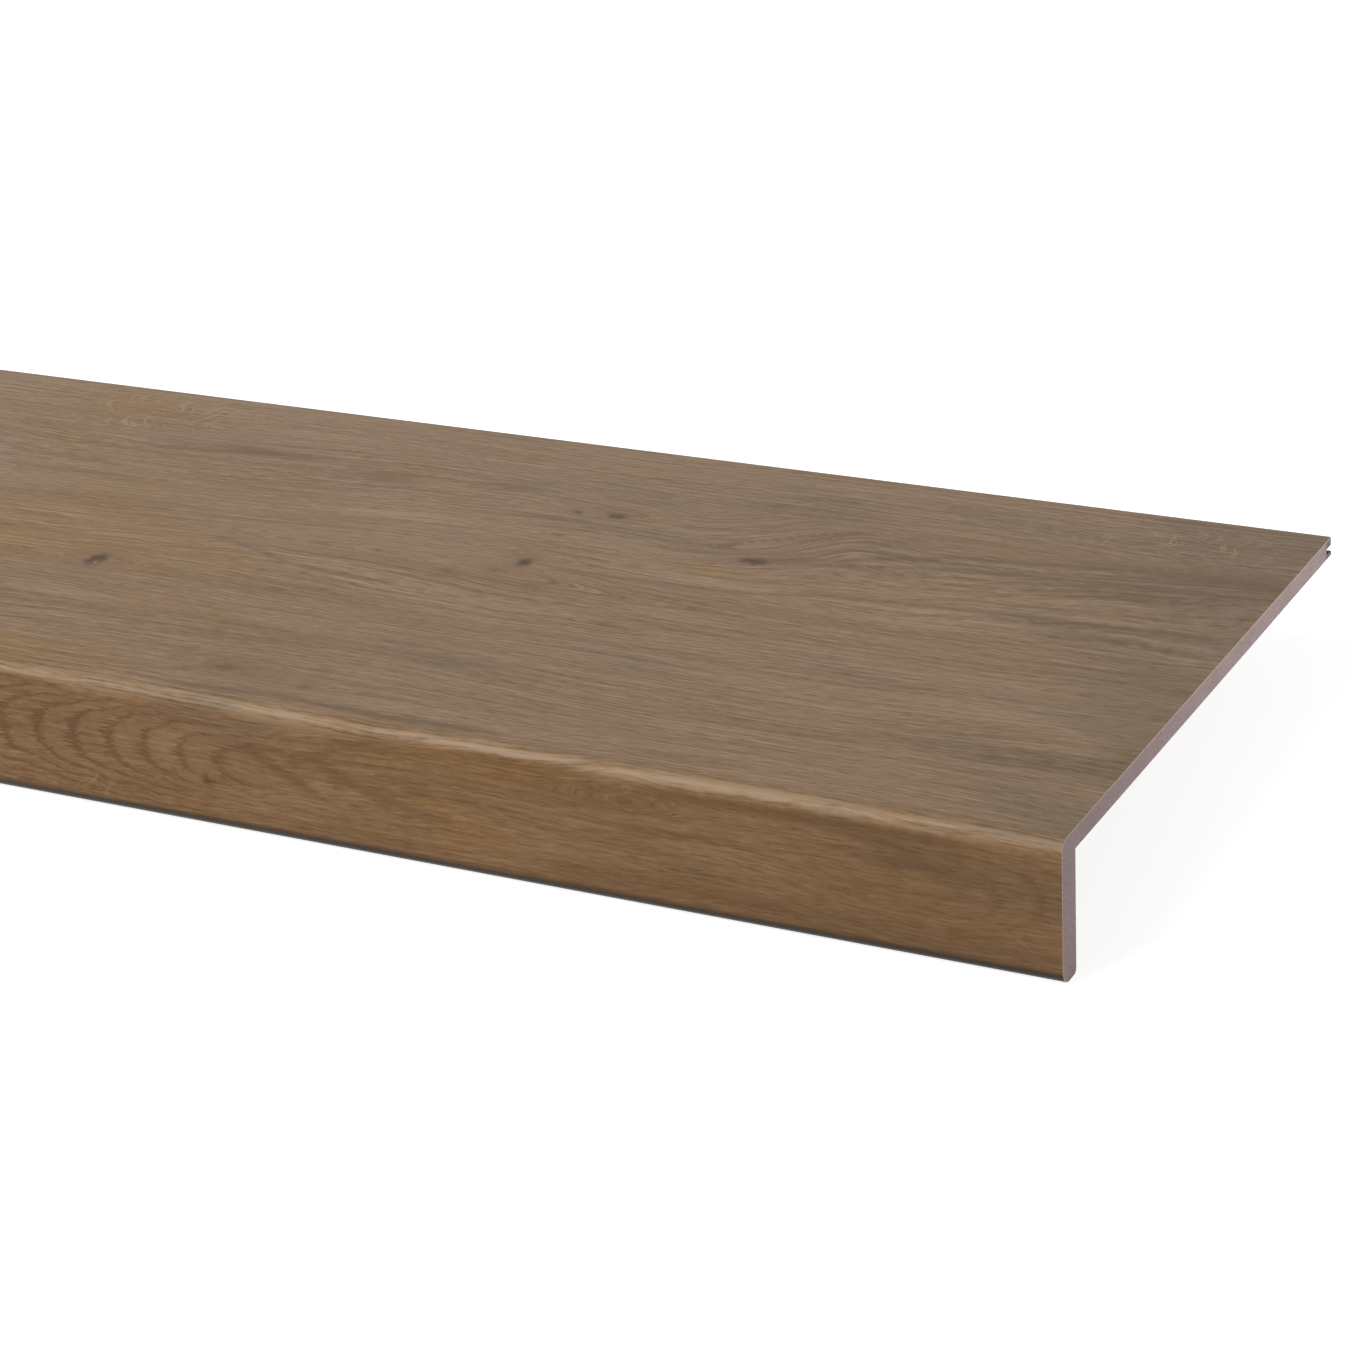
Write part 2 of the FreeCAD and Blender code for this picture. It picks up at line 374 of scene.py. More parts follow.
STREAKS = (
    # the swirl behind the knots
    Streak((217, 300, 333, 383, 496), (161, 164, 172.6, 177.6, 184), 1.5, 0.9),
    Streak((286, 318, 347, 367, 430), (197, 207, 219, 228, 236), 2.0, 0.9),
    Streak((286, 322, 360, 420, 500), (196, 203, 213, 221, 226), 1.6, 0.7),
    Streak((290, 312, 330, 345), (200, 214, 228, 244), 2.0, 0.7),
    Streak((262, 290, 312, 322), (214, 219, 231, 246), 1.8, 0.6),
    Streak((245, 275, 292, 302), (221, 226, 235, 246), 1.8, 0.5),
    # the front of the top
    Streak((134, 175, 225, 270), (8, 12, 9, 11), 1.6, 0.9),
    Streak((60, 120, 142, 160), (17, 18, 27, 33), 1.6, 0.6),
    Streak((-60, 40, 130, 260), (63, 66, 64, 67), 4.0, 0.2),
    # the rest of the top
    Streak((-30, 4, 22, 60), (232, 236.5, 240.5, 244), 1.7, 0.7),
    Streak((-104, -82, -55, -38), (213.5, 208.5, 209, 207.5), 1.6, 0.6),
    Streak((-80, -62, -41, -20), (192.5, 192, 193.5, 194.5), 1.4, 0.6),
    Streak((66, 86, 104, 130, 165), (145, 139, 131, 127, 125.5), 1.5, 0.7),
    Streak((60, 74), (145.5, 147.5), 1.8, 0.4),
    Streak((255, 262, 275), (117, 116.6, 116), 1.8, 0.8),
    # the nose
    Streak((165, 180, 202), (-14, -22, -32), 2.2, 0.7),
    Streak((199, 214, 232), (-16, -7, -4), 2.2, 0.7),
    Streak((199, 222, 250), (-16, -26, -32), 2.2, 0.7),
    Streak((427, 446, 465), (-9, -11, -9), 1.2, 0.8),
    Streak((432, 448, 468), (-18, -16, -19), 1.2, 0.9),
    Streak((236, 246), (-18, -22), 2.5, 0.6),
    Streak((300, 400, 500), (-44, -43, -45), 5.0, 0.5),
    # both sides of the painted highlight band over the round
    Streak((230, 330, 520), (5.6, 5.8, 5.4), 1.4, 0.45),
    Streak((340, 400, 460), (-5, -4.8, -5.2), 2.6, 0.9),
)
STREAK_FADE = 12


class Patch(NamedTuple):
    """A soft spot of the print, in millimetres: its middle, its reach each way, its strength.

    A negative strength takes away: such a stain is paler wood, and such a warm spot cooler.
    """

    along: float
    across: float
    reach: float
    spread: float
    strength: float


STAINS = (
    Patch(18, 241, 15, 4, 0.6),
    Patch(30, 240, 60, 7, 0.32),
    Patch(185, 141, 45, 5, 0.35),
    Patch(175, 144.5, 4, 3, 0.6),
    Patch(215, 142.5, 6, 2, 0.4),
    Patch(215, 182, 95, 40, -0.28),
    Patch(95, 231, 16, 5, 0.6),
    Patch(154, 240, 16, 5, 0.6),
    Patch(460, 240, 70, 6, 0.9),
    Patch(345, 236, 40, 7, 0.3),
    Patch(-420, 236, 60, 7, 0.6),
    Patch(165, 25, 45, 13, 0.35),
    Patch(455, -27, 60, 20, 0.35),
    Patch(180, -3, 60, 3, -0.5),
)
WARM_SPOTS = (
    Patch(-50, 115, 110, 42, 1.5),
    Patch(90, 105, 60, 45, 0.6),
    Patch(60, 16, 60, 14, 0.9),
    Patch(-90, 266, 70, 34, 0.9),
    Patch(-20, 220, 100, 50, 0.3),
    Patch(120, 160, 60, 18, 0.3),
    Patch(330, 150, 90, 10, 0.4),
    Patch(272, 181, 24, 5, 1.1),
    # the right end, cooler and darker
    Patch(525, 150, 90, 260, -1.4),
    Patch(470, 268, 110, 16, -0.8),
    Patch(-150, 268, 70, 16, -0.6),
    Patch(-250, 60, 120, 40, 0.8),
)
GROWTH_SPOTS = (
    Patch(165, 143, 95, 13, 0.45),
    Patch(300, 222, 50, 24, 0.4),
    Patch(85, -24, 72, 24, 0.68),
    Patch(88, -24, 9, 24, 0.2),
    Patch(490, -24, 20, 24, 0.15),
    Patch(331, -11, 36, 12, 0.2),
    Patch(-180, 62, 60, 20, 0.2),
    Patch(-300, 128, 120, 16, 0.25),
    Patch(-300, -24, 100, 22, 0.3),
)
RAYS = (
    Patch(440, 272, 50, 16, 1.0),
    Patch(-45, 277, 55, 18, 1.2),
    Patch(-62, 254, 18, 8, 0.85),
    Patch(489, -43, 6, 8, 0.8),
    Patch(95, -44, 10, 6, 0.7),
    Patch(-340, 270, 90, 18, 0.8),
)


def hill(places, middle, reach):
    """A smooth hill of height 1 at middle: e to the minus square of the distance over reach."""
    return np.exp(-(((places - middle) / reach) ** 2))


def slope(places, start, stop):
    """Rises smoothly from 0 at start to 1 at stop: three squares less two cubes of the way done."""
    way = np.clip((places - start) / (stop - start), 0, 1)
    return way * way * (3 - 2 * way)


def patches(along, across, spots):
    """The sum of soft spots: each its strength times a hill along and a hill across."""
    return sum(
        spot.strength * hill(along, spot.along, spot.reach) * hill(across, spot.across, spot.spread)
        for spot in spots
    )


def sway(along, across, length, width, seed, count=12):
    """Smooth noise about nought: a sum of sine waves over the root of half their count.

    Each wave's turns in a millimetre are drawn about 1/length along and 1/width across.
    """
    draw = np.random.default_rng(seed)
    turns_along, turns_across = draw.normal(0, 1, (2, count, 1)) / [[[length]], [[width]]]
    phase = draw.uniform(0, 1, (count, 1))
    waves = np.sin(2 * np.pi * (turns_along * along + turns_across * across + phase))
    return waves.sum(axis=0) / math.sqrt(count / 2)


def bend_round(along, across, knot, rings=1):
    """The grain's own measure across, bent round a knot.

    Outside the eye it is the root of the distance across squared less the spread squared,
    which fades along the grain, so that lines part before the knot and meet behind it.
    Inside the eye the same root, with its sign turned, makes that many times closed rings.
    """
    off = across - knot.across
    square = off * off - hill(along, knot.along, knot.reach) * knot.spread**2
    outside = np.sqrt(np.maximum(square, 0)) * np.sign(off)
    inside = np.sqrt(np.maximum(-square, 0)) * rings
    return outside + inside + knot.across


def board_growth(along, across):
    """Growth of the flat-sawn top: the way across, with a slow and a quick sway.

    The swirl about the knots at the right takes from it three times: past them, where the
    lines run up to the strip along the back edge, short of them, and more and more along a
    line 178 mm back.
    """
    growth = across + 4 * sway(along, across, length=320, width=90, seed=1)
    growth = growth + 0.5 * sway(along, across, length=130, width=30, seed=2)
    growth -= 50 * slope(along, 245, 330) * slope(across, 158, 252)
    growth -= 14 * slope(along, 240, 150) * slope(across, 205, 252)
    growth -= 8 * slope(along, 170, 420) * hill(across, 178, 20)
    for eye in EYES:
        growth = bend_round(along, growth, eye, EYE_RINGS)
    for knot in KNOTS:
        growth = bend_round(along, growth, knot)
    return growth


def hump(along, middle, half, rise=0.28, tip=8, hem=10):
    """A tent that rises by 0.28 for each millimetre from its hem, soft at the tip and the hem.

    The distance from the middle is the root of its square and the tip's, and what it leaves
    of the half width goes through the logarithm of 1 plus e to that, counted in hems.
    """
    left = half - np.hypot(along - middle, tip)
    return rise * hem * np.logaddexp(0, left / hem)


def nose_growth(along, across):
    """Growth of the nose: the distance from a pith that comes near the face in places.

    It is the root of the squares of the way off the pith's line and of the pith's depth.
    The way off is raised to the power 1.6, about 11 mm, where it stays as it is, and that
    makes the arcs blunt.  Where the depth falls or rises along the tread, the growth lines
    are nested arcs.
    """
    line = -23 + 8 * slope(along, 165, 210) + 4 * hill(along, 325, 60) - 8 * slope(along, 380, 470)
    depth = 5 + hump(along, 36, 136) + hump(along, 570, 145) + hump(along, -300, 110)
    off = across - line + 0.8 * sway(along, across, length=60, width=25, seed=3)
    return np.hypot(off * np.abs(off / 11) ** 0.6, depth)


def figure(along, across):
    """The print's growth and its fibre at each point, and how strong its growth lines are.

    The growth lines follow the growth, and the fine grain the fibre, which on the nose runs
    straight through the growth lines.  The nose and the strip along the back edge are boards
    of their own.
    """
    strip = across + STRIP_SHIFT + 2 * sway(along, across, length=400, width=60, seed=4)
    top = np.where(across > STRIP_EDGE, strip, board_growth(along, across))
    straight_fibre = across + 0.8 * sway(along, across, length=160, width=40, seed=5)
    for knot in KNOTS:
        straight_fibre = bend_round(along, straight_fibre, knot)
    nose = across < NOSE_EDGE
    growth = np.where(nose, nose_growth(along, across), top)
    fibre = np.where(nose, straight_fibre, top)
    strength = GROWTH_STRENGTH + patches(along, across, GROWTH_SPOTS)
    return np.column_stack([growth, fibre, strength])


def tones(along, across):
    """How warm the print is at each point, how stained it is, and how ruddy by a knot.

    A streak is a hill across its line, which fades in and out at its ends.  The painted
    highlight band over the round takes from the stain, so the print is paler there.
    """
    warmth = 0.3 * sway(along, across, length=300, width=50, seed=6)
    warmth = warmth + 0.22 * sway(along, across, length=60, width=14, seed=7)
    warmth += patches(along, across, WARM_SPOTS)
    stain = np.where(across > STRIP_EDGE, 0, patches(along, across, STAINS))
    for streak in STREAKS:
        line = np.interp(along, streak.along, streak.across)
        first, last = streak.along[0], streak.along[-1]
        begun = slope(along, first - STREAK_FADE, first + STREAK_FADE)
        unended = slope(along, last + STREAK_FADE, last - STREAK_FADE)
        stain = stain + streak.dark * hill(across, line, streak.width) * (begun * unended)
    # painted highlight: the print is made paler along the round of the nose
    stain = stain - hill(across, *PAINTED_HIGHLIGHT_BAND)
    halo = sum(
        knot.dark
        * hill(along, knot.along, HALO_LENGTH * knot.length)
        * hill(across, knot.across, HALO_WIDTH * knot.width)
        for knot in KNOTS
    )
    return np.column_stack([warmth, stain, halo])


def rays(along, across):
    """How much of the print is pale rays, which cross the grain: the first of three numbers."""
    return np.outer(patches(along, across, RAYS), (1, 0, 0))


def new_material(name):
    """An empty material with a shader and its output: the material, its tree as a wire, its shader."""
    material = bpy.data.materials.new(name)
    material.use_nodes = True
    tree = material.node_tree
    tree.nodes.clear()
    shader = tree.nodes.new("ShaderNodeBsdfPrincipled")
    output = tree.nodes.new("ShaderNodeOutputMaterial")
    tree.links.new(shader.outputs["BSDF"], output.inputs["Surface"])
    return material, Wire(tree), shader


def feed(shader, **finishes):
    """Sets or links the shader's sockets, named with underlines for spaces."""
    for name, value in finishes.items():
        socket = shader.inputs[name.replace("_", " ")]
        if isinstance(value, Wire):
            value.tree.links.new(value.socket, socket)
        else:
            socket.default_value = value


def parts(vector, count):
    """The first numbers of a vector, each as a wire."""
    apart = vector.node("SeparateXYZ", inputs={0: vector})
    return [Wire(vector.tree, apart.socket.node.outputs[i]) for i in range(count)]


def held(tree, name):
    """The three numbers that the mesh's points hold under this name."""
    return parts(tree.node("Attribute", {"attribute_name": name}, output="Vector"), 3)


def relief(height, depth):
    """The bumpy normal of a height that is counted in depths, each this many metres."""
    return height.node("Bump", inputs={"Strength": 1.0, "Distance": depth, "Height": height})


def grit(spot, scale, detail, rough=0.5):
    """Noise about 0.5 that is the same in all directions."""
    inputs = {"Vector": spot, "Scale": scale, "Detail": detail, "Roughness": rough}
    return spot.node("TexNoise", inputs=inputs)


def streaks(along, across, length, width, seed, detail=2.0, rough=0.5):
    """Noise about 0.5, drawn out along the grain into streaks of this length and width.

    Each seed reads another place of the one flat noise.
    """
    point = (along / length + 7.31 * seed).point(across / width + 3.17 * seed)
    inputs = {"Vector": point, "Scale": 1, "Detail": detail, "Roughness": rough}
    return along.node("TexNoise", {"noise_dimensions": "2D"}, inputs)


def oak_tone(along, across, figured, stain):
    """How pale the wood is, as a number from 0 to 1, and how much of it is a growth line.

    Fine lines, short dashes and pores run along the fibre.  A growth line is the first part
    of each turn of the growth, with an edge that is feathered by the dashes across it, and
    the layers are slow changes from year to year.
    """
    growth, fibre, strength = figured
    on_nose = across.ramp(NOSE_EDGE + 0.5, NOSE_EDGE - 0.5)
    calm = across.ramp(STRIP_EDGE - 1, STRIP_EDGE + 1, 1.0, 0.55)
    fine = streaks(along, fibre, length=80, width=1.5, seed=3, rough=0.6) - 0.5
    dash = streaks(along, fibre, length=9, width=1.0, seed=4, rough=0.65) - 0.5
    pores = streaks(along, fibre, length=8, width=0.5, seed=5, detail=1).ramp(0.56, 0.72)

    feathered = growth + dash * on_nose.either(1.2, 3.6)
    layers = streaks(along, feathered, length=600, width=17, seed=2, detail=4, rough=0.75) - 0.5
    turn = (feathered / GROWTH_PITCH + layers * on_nose.either(1.5, 0.3)).math("FRACT")
    line = turn.ramp(0.0, 0.16) * turn.ramp(0.12, 0.42, 1, 0) * strength

    tone = 0.475 + layers * on_nose.either(1.0, 0.85) * calm
    tone = tone + (fine + dash) * on_nose.either(1.25, 1.0) - line
    tone = tone - pores * (line * 0.6 + 0.22) - stain * (0.35 + fine * 1.5)
    return tone, line


def flecks(along, across):
    """Where the rays show: short streaks across the grain, leaning this way and that."""
    leaning = along + streaks(along, across, length=50, width=14, seed=9, detail=0) * 22
    return streaks(leaning, across, length=3.0, width=17, seed=10, detail=1).ramp(0.58, 0.70)


def closeness(spot, knot):
    """1 at a knot's heart: e to the minus square of the distance in half lengths and half widths."""
    scale = (1 / knot.length, 1 / knot.width, 0)
    shift = (-knot.along / knot.length, -knot.across / knot.width, 0)
    way = spot.node("VectorMath", {"operation": "MULTIPLY_ADD"}, {0: spot, 1: scale, 2: shift})
    square = spot.node("VectorMath", {"operation": "DOT_PRODUCT"}, {0: way, 1: way}, output=1)
    return (-square).math("EXPONENT")


def with_knots(wood, grain, spot, tints):
    """The wood with the hearts of its knots, ragged at their edges, and the pale slit in the first.

    A heart's edge is ragged because its place is moved by noise, up to half of RAGGED each way.
    """
    noise = {"Vector": grain, "Scale": 420, "Detail": 4, "Roughness": 0.7}
    stray = wood.node("TexNoise", inputs=noise, output="Color")
    back = tuple(way / 2 for way in RAGGED)
    ragged = spot.node("VectorMath", {"operation": "MULTIPLY_ADD"}, {0: stray, 1: RAGGED, 2: spot})
    ragged = ragged.node("VectorMath", {"operation": "SUBTRACT"}, {0: ragged, 1: back})
    heart = closeness(ragged, KNOTS[0]) * KNOTS[0].dark
    for knot in KNOTS[1:]:
        heart = heart.math("MAXIMUM", closeness(ragged, knot) * knot.dark)
    wood = heart.ramp(0.08, 0.75).mix(wood, tints.knot)
    return (closeness(ragged, SLIT) * 0.8).mix(wood, tints.slit)


def oak_decor(tints):
    """Oak printed on the laminate, with its figure from the mesh and its grain drawn along it."""
    material, tree, shader = new_material("oak_decor")
    grain = tree.node("UVMap", {"uv_map": "Grain"})
    spot = tree.node("VectorMath", {"operation": "SCALE"}, {0: grain, "Scale": 1 / MM})
    along, across = parts(spot, 2)
    figured = held(tree, "Figure")
    warmth, stain, halo = held(tree, "Tones")
    rayed = held(tree, "Rays")[0]

    tone, line = oak_tone(along, across, figured, stain)
    wood = tone.mix(tints.dark, tints.pale)
    wood = wood.tinted(warmth.ramp(-0.1, -1.1), tints.cool)
    wood = wood.tinted(warmth.ramp(0.1, 1.6), tints.warm)
    # the nose's own board tint, also painted shade on the front of the nose
    wood = wood.tinted(across.ramp(0, NOSE_EDGE), tints.nose)
    wood = (stain * 0.5 + line * 0.4).math("MINIMUM", 0.8).mix(wood, tints.stain)
    wood = (halo * 0.5).math("MINIMUM", 1).mix(wood, tints.halo)
    wood = (flecks(along, across) * rayed * 0.44).mix(wood, tints.ray)
    wood = with_knots(wood, grain, spot, tints)
    # painted shade: the laminate goes nearly black where it turns under the foot
    wood = across.ramp(*FOOT_SHADE).mix(wood, tints.foot)

    fibre = figured[1]
    swell = streaks(along, across, length=40, width=25, seed=7)
    pressed = streaks(along, fibre, length=9, width=0.6, seed=5, detail=1).ramp(0.54, 0.72)
    feed(
        shader,
        Base_Color=wood,
        Roughness=tints.gloss,
        Normal=relief(swell * 2.0 - pressed * 0.6, 0.05 * MM),
        Specular_IOR_Level=0.12,
    )
    return material


def sawn_laminate(tints):
    """The cut edge of the laminate: pressed paper, pale and speckled."""
    material, tree, shader = new_material("sawn_laminate")
    speck = grit(tree.node("TexCoord", output="Object"), scale=2500, detail=2)
    feed(shader, Base_Color=speck.ramp(0.3, 0.7).mix(tints.sawn, tints.pale), Roughness=0.7)
    return material


def fibreboard(name, ground, tints, scored, lips=None):
    """Bare fibreboard: a ground with dark fibre bundles and pale fibre ends.

    Scored is how fine the tool's marks are along each axis, in marks a millimetre: a low
    number draws them out into lines along that axis.  Lips is how far back the lips' darker
    ends begin, in metres: the darker grey comes in from 3 mm before that to 2 mm past it.
    """
    material, tree, shader = new_material(name)
    spot = tree.node("TexCoord", output="Object")
    cloud = grit(spot, scale=60, detail=4, rough=0.6)
    speck = grit(spot, scale=1100, detail=3, rough=0.6)
    drawn_out = spot.node("VectorMath", {"operation": "MULTIPLY"}, {0: spot, 1: scored})
    mark = grit(drawn_out, scale=1 / MM, detail=2, rough=0.7)
    board = (speck.ramp(0.35, 0.62) * 0.5 + 0.5).mix(tints.fibre, ground)
    board = (speck.ramp(0.60, 0.75) * 0.5).mix(board, tints.dust)
    board = (cloud.ramp(0.35, 0.65) * 0.18).mix(board, tints.fibre)
    board = (mark.ramp(0.52, 0.72) * 0.3).mix(board, tints.fibre)
    board = (mark.ramp(0.46, 0.30) * 0.25).mix(board, tints.dust)
    if lips is not None:
        back = parts(spot, 2)[1]
        # the sawn ends of the lips go darker and greyer
        board = (back.ramp(lips - 3 * MM, lips + 2 * MM) * 0.8).mix(board, tints.dark_lips)
    feed(
        shader,
        Base_Color=board,
        Roughness=0.85,
        Normal=relief(speck * 0.5 + mark * 0.8, 0.12 * MM),
        Specular_IOR_Level=0.2,
    )
    return material


def arc(middle, radius, start, stop, count):
    """Points on a circle: the middle plus radius times cosine and sine, angle from start to stop."""
    turn = np.linspace(start, stop, count)
    return np.asarray(middle) + radius * np.column_stack([np.cos(turn), np.sin(turn)])


def straight(start, stop, pace):
    """Points on a straight run from start to stop, no more than a pace apart."""
    count = math.ceil(math.dist(start, stop) / pace) + 1
    return np.linspace(start, stop, count)


def foot_middle(tread):
    """The middle of the foot's round, across the tread."""
    return tread.foot_round - tread.depth / 2, tread.foot_round


def laminate_line(tread, inset, pace=UNCUT, arc_points=12):
    """A line of the laminate from the back edge to the foot, this far inside its outer face.

    It is a level run, a quarter circle, an upright run and the wrap's arc.  The arcs keep
    their middles, and their radii are less by the inset.  The outer line's straight runs are
    cut into paces, because the print's figure is held by its points.
    """
    face = -tread.depth / 2
    back = tread.depth / 2 - tread.lip_reach
    top_middle = (face + tread.top_round, tread.height - tread.top_round)
    wrap_end = math.pi + tread.wrap
    over = arc(top_middle, tread.top_round - inset, QUARTER, math.pi, arc_points)
    under = arc(foot_middle(tread), tread.foot_round - inset, math.pi, wrap_end, arc_points)
    level = straight((back, tread.height - inset), over[0], pace)
    upright = straight(over[-1], under[0], pace)
    return np.vstack([level[:-1], over, upright[1:-1], under])


def core_section(tread):
    """The core's outline: the laminate's bonded line, then the foot, heel, board and back edge."""
    bonded = laminate_line(tread, tread.laminate, arc_points=24)
    nose_back = tread.nose - tread.depth / 2
    back = tread.depth / 2
    lip_edge = back - tread.lip_reach
    board = tread.height - tread.board
    groove_top = tread.height - tread.upper_lip
    groove_foot = groove_top - tread.groove
    heel_middle = (nose_back - tread.heel_round, tread.heel_round)
    tip_middle = (back - tread.lip_round, groove_foot - tread.lip_round)
    foot = arc(foot_middle(tread), tread.foot_round, math.pi + tread.wrap, 3 * QUARTER, count=8)
    heel = arc(heel_middle, tread.heel_round, -QUARTER, 0, count=12)
    tip = arc(tip_middle, tread.lip_round, 0, QUARTER, count=8)
    board_run = [(nose_back, board), (back, board)]
    groove = [
        (lip_edge - tread.groove_depth, groove_foot),
        (lip_edge - tread.groove_depth, groove_top),
        (lip_edge, groove_top),
    ]
    return np.vstack([bonded, foot, heel, board_run, tip, groove])


def carry(outline, stations):
    """A section carried along X: its points at each station, the walls between, the two ends.

    Point j of the section at station i is number i times the section's count plus j, and
    the section closes on its first point.  Its points run anticlockwise seen from +X, so
    that the first end has them in reverse to face outwards.
    """
    count = len(outline)
    x = np.repeat(stations, count)
    y, z = np.tile(outline, (len(stations), 1)).T
    points = np.column_stack([x, y, z])
    i, j = np.meshgrid(np.arange(len(stations) - 1), np.arange(count), indexing="ij")
    here = (i * count + j).ravel()
    beside = (i * count + (j + 1) % count).ravel()
    walls = np.column_stack([here, beside, beside + count, here + count])
    last = len(points) - count
    ends = [list(reversed(range(count))), list(range(last, len(points)))]
    return points, walls, ends


def make_piece(name, points, faces, materials, node):
    """A mesh object from points and faces, shaded smooth with sharp corners, riding on the tread."""
    mesh = bpy.data.meshes.new(name)
    mesh.from_pydata(points.tolist(), [], faces)
    mesh.validate()
    for material in materials:
        mesh.materials.append(material)
    mesh.shade_smooth()
    mesh.set_sharp_from_angle(angle=SHARP_EDGE)
    piece = bpy.data.objects.new(name, mesh)
    bpy.context.scene.collection.objects.link(piece)
    weighted = piece.modifiers.new("Flat faces stay flat", "WEIGHTED_NORMAL")
    weighted.keep_sharp = True
    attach(piece, BODY)
    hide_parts(node)
    return piece


class AddLaminate(bpy.types.Operator):
    """Adds the laminate: a thin sheet over the top, round the nose, down its front and under."""

    bl_idname = "stair_tread.add_laminate"
    bl_label = "Add laminate"

    def execute(self, context):
        tread = context.scene.tread_sizes
        tints = context.scene.oak_colours
        outer = laminate_line(tread, 0, PRINT_PACE)
        bonded = laminate_line(tread, tread.laminate)
        outline = np.vstack([outer, bonded[::-1]])
        stations = np.linspace(-tread.length / 2, tread.length / 2, PRINT_STATIONS)
        points, walls, ends = carry(outline, stations)
        finishes = [oak_decor(tints), sawn_laminate(tints)]
        piece = make_piece("oak_laminate", points, walls.tolist() + ends, finishes, LAMINATE_NODE)

        shown = np.arange(len(walls)) % len(outline) < len(outer) - 1
        sawn = np.append(~shown, [True, True]).astype(np.int32)
        piece.data.polygons.foreach_set("material_index", sawn)

        steps = np.linalg.norm(np.diff(outer, axis=0), axis=1)
        way = tread.depth - tread.lip_reach - np.concatenate([[0], np.cumsum(steps)])
        across = np.tile(np.concatenate([way, np.zeros(len(bonded))]), len(stations))
        print_figure(piece.data, points[:, 0], across)
        return {"FINISHED"}


def print_figure(mesh, along, across):
    """Lays the print on the laminate: the map Grain and the attributes Figure, Tones and Rays.

    The way across is the distance from the nose's face on the level top, and goes on below
    nought round the nose and down its front.
    """
    corner = np.empty(len(mesh.loops), dtype=np.int32)
    mesh.loops.foreach_get("vertex_index", corner)
    grain = np.column_stack([along, across])[corner]
    mesh.uv_layers.new(name="Grain").data.foreach_set("uv", grain.ravel())
    for name, drawing in {"Figure": figure, "Tones": tones, "Rays": rays}.items():
        points = mesh.attributes.new(name, "FLOAT_VECTOR", "POINT")
        points.data.foreach_set("vector", drawing(along / MM, across / MM).ravel())


class AddCore(bpy.types.Operator):
    """Adds the fibreboard core with its nose, its board and the grooved back edge."""

    bl_idname = "stair_tread.add_core"
    bl_label = "Add core"

    def execute(self, context):
        tread = context.scene.tread_sizes
        tints = context.scene.core_colours
        outline = core_section(tread)
        stations = (-tread.length / 2, tread.length / 2)
        points, walls, ends = carry(outline, stations)
        groove_floor = tread.depth / 2 - tread.lip_reach - tread.groove_depth
        finishes = [
            fibreboard("sawn_fibreboard", tints.face, tints, (0.2, 0.2, 1.6), lips=groove_floor),
            fibreboard("milled_fibreboard", tints.milled, tints, (0.03, 2.2, 2.2)),
            fibreboard("sanded_fibreboard", tints.sanded, tints, (0.02, 1.5, 1.5)),
        ]
        piece = make_piece("fibreboard_core", points, walls.tolist() + ends, finishes, CORE_NODE)
        sawn, milled, sanded = range(3)
        wall_middles = (outline + np.roll(outline, -1, axis=0))[:, 0] / 2
        finish = np.where(wall_middles > groove_floor - MICRON, milled, sanded).astype(np.int32)
        piece.data.polygons.foreach_set("material_index", np.append(finish, [sawn, sawn]))
        return {"FINISHED"}


class SetStage(bpy.types.Operator):
    """Sets the camera, the pale floor and the soft studio light."""

    bl_idname = "stair_tread.set_stage"
    bl_label = "Set stage"

    def execute(self, context):
        look = context.scene.stage_look
        scene = context.scene
        scene.view_settings.view_transform = "Standard"
        place_camera(scene, look)
        lay_floor(scene, look)
        light_sky(scene, look)
        hang_lamp(scene, "key_lamp", look.key, look.key_place, look.key_size)
        hang_lamp(scene, "fill_lamp", look.fill, look.fill_place, look.fill_size)
        return {"FINISHED"}


def place_camera(scene, look):
    """The camera: its view direction from azimuth and pitch, then leaned by the roll."""
    flat = math.cos(look.pitch)
    view = Vector((-math.sin(look.azimuth) * flat, math.cos(look.azimuth) * flat, -math.sin(look.pitch)))
    right = Vector((math.cos(look.azimuth), math.sin(look.azimuth), 0))
    up = right.cross(view)
    leaned_right = math.cos(look.roll) * right + math.sin(look.roll) * up
    leaned_up = math.cos(look.roll) * up - math.sin(look.roll) * right
    data = bpy.data.cameras.new("tread_camera")
    data.sensor_width = SENSOR
    data.lens = look.lens
    data.clip_end = CAMERA_REACH
    camera = bpy.data.objects.new("tread_camera", data)
    turn = Matrix((leaned_right, leaned_up, -view)).transposed()
    camera.matrix_world = Matrix.Translation(look.camera) @ turn.to_4x4()
    scene.collection.objects.link(camera)
    scene.camera = camera


def lay_floor(scene, look):
    """A square floor, white to the camera where nothing shades it, and clear from below."""
    half = look.floor
    corners = [(-half, -half, 0), (half, -half, 0), (half, half, 0), (-half, half, 0)]
    mesh = bpy.data.meshes.new("floor")
    mesh.from_pydata(corners, [], [(0, 1, 2, 3)])
    material = bpy.data.materials.new("pale_floor")
    material.use_nodes = True
    material.node_tree.nodes.clear()
    tree = Wire(material.node_tree)
    cloth = tree.node("BsdfDiffuse", inputs={"Color": opaque((look.cloth, look.cloth, look.cloth))})
    strength = seen_straight(tree).either(look.bounce, look.glow)
    glow = tree.node("Emission", inputs={"Color": WHITE, "Strength": strength})
    pale = tree.node("AddShader", inputs={0: cloth, 1: glow})
    clear = tree.node("BsdfTransparent")
    below = tree.node("NewGeometry", output="Backfacing")
    both = tree.node("MixShader", inputs={0: below, 1: pale, 2: clear})
    end = material.node_tree.nodes.new("ShaderNodeOutputMaterial")
    material.node_tree.links.new(both.socket, end.inputs["Surface"])
    mesh.materials.append(material)
    floor = bpy.data.objects.new("floor", mesh)
    scene.collection.objects.link(floor)


